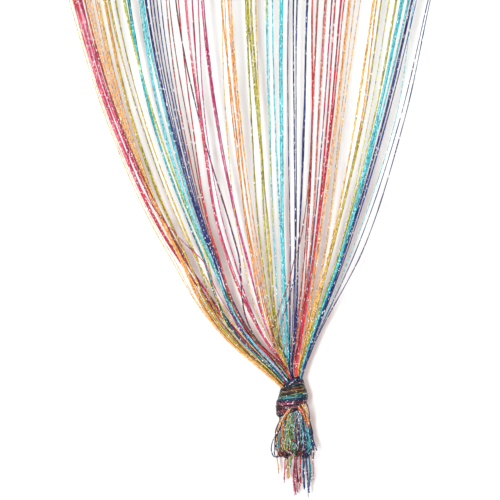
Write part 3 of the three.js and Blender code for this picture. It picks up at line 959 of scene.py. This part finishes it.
# Strings that stand off the fold: an open loop on its left, two on its right, and those that come out
# over the knot's lower edge. Each has a dye and the places that it passes, in millimetres.
LOOPS = [
    ("navy", [(56, -12, -1572), (50, -14, -1584), (43.4, -13, -1596), (38, -11, -1608),
              (36, -10, -1618), (37.4, -9, -1628), (41.5, -8, -1634), (48, -7, -1632)]),
    ("ink", [(57, -10, -1576), (48, -12, -1590), (43, -11, -1600), (41.8, -9, -1610),
             (41.9, -8, -1620), (41.4, -7, -1629), (45, -6, -1635), (52, -6, -1632)]),
    ("navy", [(96, -10, -1570), (103, -12, -1595), (107.8, -11, -1608), (113.2, -9, -1623)]),
    ("navy", [(97, -12, -1568), (103, -14, -1595), (107.6, -12, -1618), (107.4, -10, -1637)]),
    ("orange", [(70, -16, -1547), (66, -19.4, -1554), (61, -19.6, -1562), (57, -17.6, -1570),
                (54.5, -14, -1580), (53.5, -9, -1592)]),
    ("brown", [(68, -16, -1548), (63.4, -19.2, -1556), (58.6, -19, -1563), (54.6, -16.8, -1571),
               (52.2, -13, -1581), (51, -8, -1593)]),
    ("apricot", [(66.5, -16, -1549), (61.8, -19, -1557), (57, -18.4, -1564), (53, -16, -1572),
                 (50.4, -12, -1582), (49.4, -7, -1594)]),
    ("orange", [(65, -15.5, -1551), (60.4, -18.6, -1558), (55.4, -17.8, -1565), (51.4, -15, -1573),
                (48.8, -11, -1583), (47.8, -6, -1595)]),
    ("scarlet", [(79, -15, -1548), (83, -17.5, -1553), (88, -18, -1561), (92, -16.5, -1570),
                 (94.5, -13, -1580), (96, -7, -1592)]),
    ("orange", [(81, -15, -1546), (85, -17.5, -1552), (90, -18, -1560), (94, -16.5, -1570),
                (97, -12, -1582), (98, -6, -1594)]),
    ("red", [(83, -14, -1545), (87, -17, -1551), (92, -17.5, -1560), (96, -15.5, -1571),
             (98.5, -11, -1583), (99, -5, -1595)]),
    ("gold", [(86, -13, -1542), (90, -16, -1549), (94, -16.5, -1558), (97, -15, -1570),
              (99.5, -11, -1582), (100, -5, -1594)]),
    ("gold", [(89, -12, -1541), (93, -14.5, -1549), (96, -15, -1558), (99, -13.5, -1570),
              (101, -9, -1582), (101, -4, -1594)]),
    ("maroon", [(93, -9, -1539), (97, -12, -1546), (99.5, -12.5, -1555), (101, -11, -1567),
                (102, -8, -1580), (101, -3, -1592)]),
]
LOOP_WIDTH = 2.1 * MM
LOOP_THICKNESS = 1.5 * MM
LOOP_TURNS = 0.6
loops = []
for dye, points in LOOPS:
    path = flowing(np.array(points) * MM, FOLD_POINTS)
    loops.append(Strand(path, dye, rng, width=LOOP_WIDTH, thickness=LOOP_THICKNESS, turns=LOOP_TURNS))
fold_pieces.append(tubes("fold_loose_loops", loops))

# The bundle inside the fold, a dark ink tube that is painted shade between its strings: level, middle,
# half width and half depth in millimetres.
FOLD_CORE = [
    (1552, 73, 4, 3),
    (1560, 73.4, 15, 9),
    (1580, 75, 20.5, 12),
    (1600, 74.4, 25, 13.5),
    (1616, 73.6, 26.5, 13),
    (1624, 73.6, 21, 8),
    (1628, 73.6, 8, 2),
]
fold_pieces.append(core_tube("fold_core", FOLD_CORE))
for piece in fold_pieces:
    dress(piece, tassel_yarn, "tassel_fold")

# The loose ends: dyes, number, place under the fold, places half-way and at the tips, the tips'
# level, and how far the tips spread, in millimetres.
Ends = namedtuple("Ends", "dyes count top half tip level spread")
ENDS = [Ends(*row) for row in [
    ("orange", 3, 46, 47.5, 49.3, -1663, 1.5),
    ("magenta rose", 3, 60, 59.4, 58.3, -1681, 1.5),
    ("gold apricot gold orange", 7, 64, 63.5, 65.5, -1675, 8),
    ("olive green", 4, 69, 69, 67.5, -1655, 4),
    ("magenta purple rose magenta", 6, 76, 74.5, 77.2, -1699, 4),
    ("red rose", 4, 78, 78.5, 81, -1696, 4),
    ("teal", 2, 80, 80, 83, -1682, 3),
    ("scarlet orange red", 7, 86, 85.5, 85.2, -1687, 5),
    ("navy aqua blue", 5, 90, 90, 92.2, -1693, 4),
    ("silver lime", 3, 93.5, 93, 93.2, -1671, 2),
    ("navy blue", 4, 95.5, 98.4, 100.3, -1702, 3),
    ("turquoise aqua teal aqua", 5, 101, 103, 102.7, -1684, 4),
    ("rose", 1, 106, 107, 107.4, -1674, 1),
]]
END_POINTS = 30
ENDS_TOP = -1612
FOLD_FOOT = -1639
FOLD_MIDDLE = 74.5

# How the ends vary: their depth, how unevenly they are cut, how they bend aside, and their widths, in
# millimetres, and how often they turn. Above, inside the fold, they lie closer to its middle.
END_DEPTHS = (-7, 5)
END_CUTS = (-2, 9)
END_BEND = 0.8
TIP_BEND = 1.5
END_WIDTHS = (1.5, 2.0)
END_TURNS = (0.3, 0.9)
INSIDE_ACROSS = 0.15
INSIDE_DEPTH = 0.7
FOOT_SPREAD = 0.5
HALF_SPREAD = 0.8


def end_strand(ends, dye):
    """One loose end, from inside the fold down to its tip. A string on its own isn't cut unevenly."""
    shift = scatter(0.5)
    depth = rng.uniform(*END_DEPTHS)
    level = ends.level + rng.uniform(*END_CUTS) * (1 if ends.count > 1 else 0)
    half = ends.half + shift * ends.spread * HALF_SPREAD + scatter(END_BEND)
    points = [
        (mix(ends.top, FOLD_MIDDLE, INSIDE_ACROSS), depth * INSIDE_DEPTH, ENDS_TOP),
        (ends.top + shift * ends.spread * FOOT_SPREAD, depth, FOLD_FOOT),
        (half, depth, mix(FOLD_FOOT, level, 0.5)),
        (ends.tip + shift * ends.spread, depth + scatter(TIP_BEND), level),
    ]
    path = flowing(np.array(points) * MM, END_POINTS)
    return Strand(path, dye, rng, width=rng.uniform(*END_WIDTHS) * MM, turns=rng.uniform(*END_TURNS),
                  phase=rng.uniform(0, TAU), shade=(0.56, 0.84))


loose = []
for ends in ENDS:
    dyes = ends.dyes.split()
    for i in range(ends.count):
        loose.append(end_strand(ends, dyes[i % len(dyes)]))
end_piece = tubes("loose_end_strings", loose)
dress(end_piece, tassel_yarn, "tassel_ends")

# The stage: a white wall close behind the curtain, seen from the front only, which leans back a
# little, and a pale floor. WALL_BACK is how far back its lower and its upper edge are.
WALL_BACK = (0.006, 0.165)
WALL_TOP = 1.5
WALL_HALF = 3
WALL_SHADE = (0.47, 0.55, 0.555, 1)
# The wall's glow is painted light: pink like light thrown back by the strings, it lightens the shadows
# on the wall, and more at the top.
WALL_GLOW = (1, 0.62, 0.58, 1)
WALL_HIGH_GLOW = (1.16, 0.92, 0.87, 1)
WALL_HIGH = (-1.35, -0.9)
WALL_GLOW_STRENGTH = 0.35
FLOOR_LEVEL = -2.05
FLOOR_HALF = 6
FLOOR_SHADE = (0.9, 0.9, 0.9, 1)
GRAIN_SCALE = 3.0
GRAIN_SHADE = 0.97


def stage_square(name, half_width, first, last, material):
    """A flat square between two edges along X, each given as its depth and its height."""
    corners = [(-half_width, *first), (half_width, *first), (half_width, *last), (-half_width, *last)]
    mesh = bpy.data.meshes.new(name)
    mesh.from_pydata(corners, [], [[0, 1, 2, 3]])
    mesh.materials.append(material)
    linked(name, mesh)


def pale_paint(name, shade):
    """Matt paint of a slightly uneven shade, with the place on it for more nodes."""
    s = Surface(name)
    spot = s.node("ShaderNodeTexCoord").outputs["Object"]
    darker = [GRAIN_SHADE * value for value in shade[:3]] + [1]
    colour = s.blend(shade, darker, s.noise(spot, GRAIN_SCALE))
    s.give({"Base Color": colour, "Roughness": 0.9, "Specular IOR Level": 0.1})
    return s, spot


def wall_paint():
    """White paint that glows a little, most at the top, as painted light that lightens its shadows, and
    lets what is behind it through.
    """
    s, spot = pale_paint("wall_paint", WALL_SHADE)
    height = s.node("ShaderNodeSeparateXYZ", {0: spot}).outputs[2]
    # Painted light: a pink glow on the wall, stronger at the top.
    glow = s.blend(WALL_GLOW, WALL_HIGH_GLOW, s.step(height, *WALL_HIGH))
    s.give({"Emission Color": glow, "Emission Strength": WALL_GLOW_STRENGTH})
    behind = s.node("ShaderNodeNewGeometry").outputs["Backfacing"]
    clear = s.node("ShaderNodeBsdfTransparent").outputs[0]
    mixed = s.node("ShaderNodeMixShader", {0: behind, 1: s.shader.outputs[0], 2: clear})
    s.links.new(mixed.outputs[0], s.nodes["Material Output"].inputs[0])
    return s.material


stage_square("wall", WALL_HALF, (WALL_BACK[0], FLOOR_LEVEL), (WALL_BACK[1], WALL_TOP), wall_paint())
floor_paint, _ = pale_paint("floor_paint", FLOOR_SHADE)
stage_square("floor", FLOOR_HALF, (-FLOOR_HALF, FLOOR_LEVEL), (FLOOR_HALF, FLOOR_LEVEL),
             floor_paint.material)


def area_light(name, place, target, size, power):
    """A round soft light at a place that shines on a target."""
    light = bpy.data.lights.new(name, "AREA")
    light.shape = "DISK"
    light.size = size
    light.energy = power
    lamp = linked(name, light)
    lamp.location = place
    direction = np.array(target) - np.array(place)
    lamp.rotation_euler = (
        math.acos(-direction[2] / np.linalg.norm(direction)),
        0,
        math.atan2(direction[1], direction[0]) - math.pi / 2,
    )


area_light("key", place=(-1.1, -3.9, -1.15), target=(0, 0, -1.3), size=0.8, power=194)
area_light("fill", place=(1.6, -2.6, -0.9), target=(0, 0, -1.1), size=1.6, power=12)

STUDIO_COLOUR = (1, 0.97, 0.97, 1)
STUDIO_STRENGTH = 0.35
world = bpy.data.worlds.new("studio")
world.use_nodes = True
world.node_tree.nodes["Background"].inputs[0].default_value = STUDIO_COLOUR
world.node_tree.nodes["Background"].inputs[1].default_value = STUDIO_STRENGTH
bpy.context.scene.world = world
bpy.context.scene.view_settings.view_transform = "Standard"

# The camera looks straight on at the part of the curtain that the photograph shows, 850 mm across.
CAMERA_PLACE = (0, -2.008, -1.2834)
camera_data = bpy.data.cameras.new("camera")
camera_data.lens = 85
camera_data.sensor_width = 36
camera = linked("camera", camera_data)
camera.location = CAMERA_PLACE
camera.rotation_euler = (math.pi / 2, 0, 0)
bpy.context.scene.camera = camera
